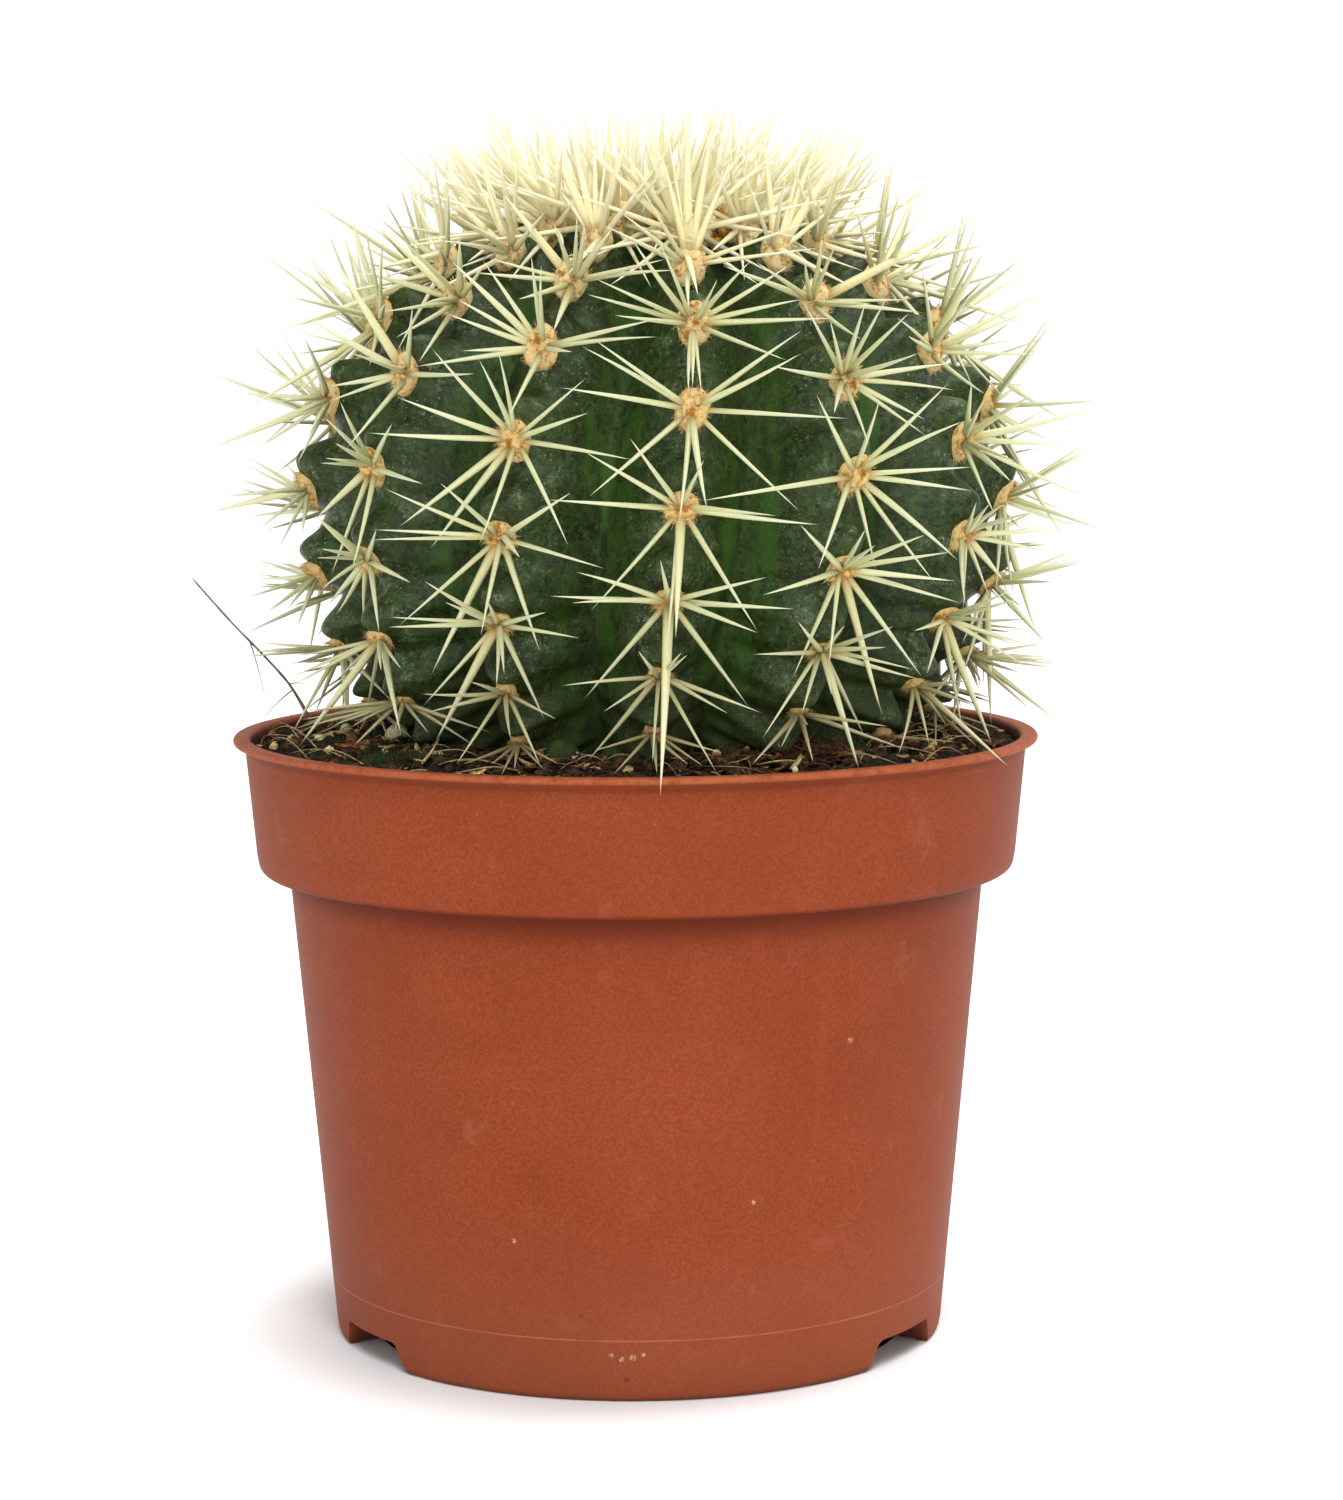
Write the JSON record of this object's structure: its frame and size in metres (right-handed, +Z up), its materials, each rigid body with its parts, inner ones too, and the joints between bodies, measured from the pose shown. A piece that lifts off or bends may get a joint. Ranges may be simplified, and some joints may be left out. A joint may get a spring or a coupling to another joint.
{
  "type": "potted round cactus",
  "caption": "Ribbed round cactus with straw-coloured spines, standing in soil in a round terracotta-coloured plastic plant pot with a stepped collar.",
  "frame": {"origin": "centre of the pot's foot, on the surface that the pot stands on", "axes": "+Z up along the pot's axis, -Y towards the viewer, +X to the viewer's right"},
  "size_m": [0.1381, 0.1376, 0.183],
  "materials": {
    "pot_plastic": "satin terracotta-coloured moulded plastic with a fine grain, scuffs and a few soil specks",
    "soil": "dark moist peat with fibres, moss and loose crumbs",
    "flesh": "waxy dark green skin with a bluish bloom, dust specks, and pale straw spines on felted cream areoles",
    "wool": "dense cream wool with young golden spines, orange at their roots",
    "perlite": "porous off-white expanded grain, dusted with soil",
    "bark": "rough fibrous brown bark",
    "straw": "dry grey-brown grass stalk, split and fibrous"
  },
  "bodies": {
    "root": {"pot": "pot_plastic", "soil": "soil", "cactus": "flesh", "crown": "wool", "dry_stalk": "straw", "perlite_grain_1": "perlite", "perlite_grain_2": "perlite", "perlite_grain_3": "perlite", "perlite_grain_4": "perlite", "perlite_grain_5": "perlite", "bark_chip_1": "bark", "bark_chip_2": "bark", "bark_chip_3": "bark"}
  },
  "joints": []
}
